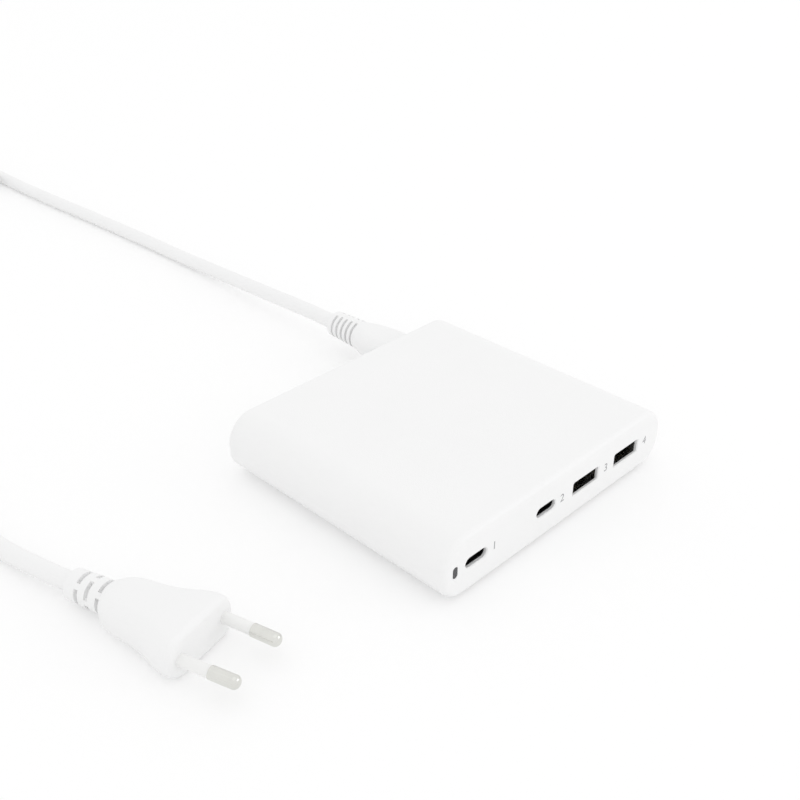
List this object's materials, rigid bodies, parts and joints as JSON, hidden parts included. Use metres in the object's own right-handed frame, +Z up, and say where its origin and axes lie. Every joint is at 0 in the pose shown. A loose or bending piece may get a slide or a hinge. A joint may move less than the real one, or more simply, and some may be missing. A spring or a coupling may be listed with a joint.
{
  "type": "mobile device charger",
  "caption": "Flat desktop charger: rounded moulded case, oval and flat charging sockets along the front, indicator lens, low feet, and a mains lead with slitted reliefs and a round-pin plug.",
  "frame": {"origin": "middle of the case's footprint, on the surface that its feet stand on", "axes": "+Z up; -Y out of the charging sockets; +X to the right of someone who faces the sockets"},
  "size_m": [0.1879, 0.4764, 0.022],
  "materials": {
    "case_white": "satin moulded",
    "foot_rubber": "matte",
    "socket_steel": "bright rolled",
    "socket_black": "moulded",
    "lens_smoke": "smoked",
    "lamp_yellow": "clear moulded",
    "board_green": "lacquered",
    "sheet_amber": "pressed sheet",
    "inlet_black": "moulded",
    "pin_nickel": "plated",
    "capacitor_sleeve": "shrunk sleeve",
    "fuse_brown": "moulded",
    "film_grey": "moulded",
    "ferrite": "pressed",
    "copper_winding": "enamelled",
    "chip_black": "moulded",
    "spreader_aluminium": "rolled",
    "lead_white": "soft moulded",
    "collar_white": "moulded",
    "tie_white": "woven"
  },
  "bodies": {
    "root": {"bridge_rectifier": "chip_black", "bulk_capacitor_1": "capacitor_sleeve", "bulk_capacitor_2": "capacitor_sleeve", "choke_core": "ferrite", "choke_winding_left": "copper_winding", "choke_winding_right": "copper_winding", "coil_tie": "tie_white", "controller_chip": "chip_black", "cord_coil": "lead_white", "cord_plug_run": "lead_white", "cord_rear_run": "lead_white", "filter_capacitor": "film_grey", "flat_port_shell_left": "socket_steel", "flat_port_shell_right": "socket_steel", "flat_port_tongue_left": "socket_black", "flat_port_tongue_right": "socket_black", "foot_front_left": "foot_rubber", "foot_front_right": "foot_rubber", "foot_rear_left": "foot_rubber", "foot_rear_right": "foot_rubber", "fuse": "fuse_brown", "heat_spreader": "spreader_aluminium", "housing": "case_white", "indicator_lamp": "lamp_yellow", "indicator_lens": "lens_smoke", "inlet_pin_left": "pin_nickel", "inlet_pin_right": "pin_nickel", "inlet_socket": "inlet_black", "insulation_sheet": "sheet_amber", "main_board": "board_green", "mains_connector": "lead_white", "output_capacitor_1": "capacitor_sleeve", "output_capacitor_2": "capacitor_sleeve", "output_capacitor_3": "capacitor_sleeve", "output_capacitor_4": "capacitor_sleeve", "output_inductor_1": "ferrite", "output_inductor_2": "ferrite", "output_inductor_3": "ferrite", "oval_port_shell_left": "socket_steel", "oval_port_shell_right": "socket_steel", "oval_port_tongue_left": "socket_black", "oval_port_tongue_right": "socket_black", "plug_body": "lead_white", "plug_collar_far": "collar_white", "plug_collar_near": "collar_white", "plug_pin_far": "pin_nickel", "plug_pin_near": "pin_nickel", "rear_panel": "case_white", "transformer_core": "ferrite", "transformer_winding": "copper_winding"}
  },
  "joints": []
}
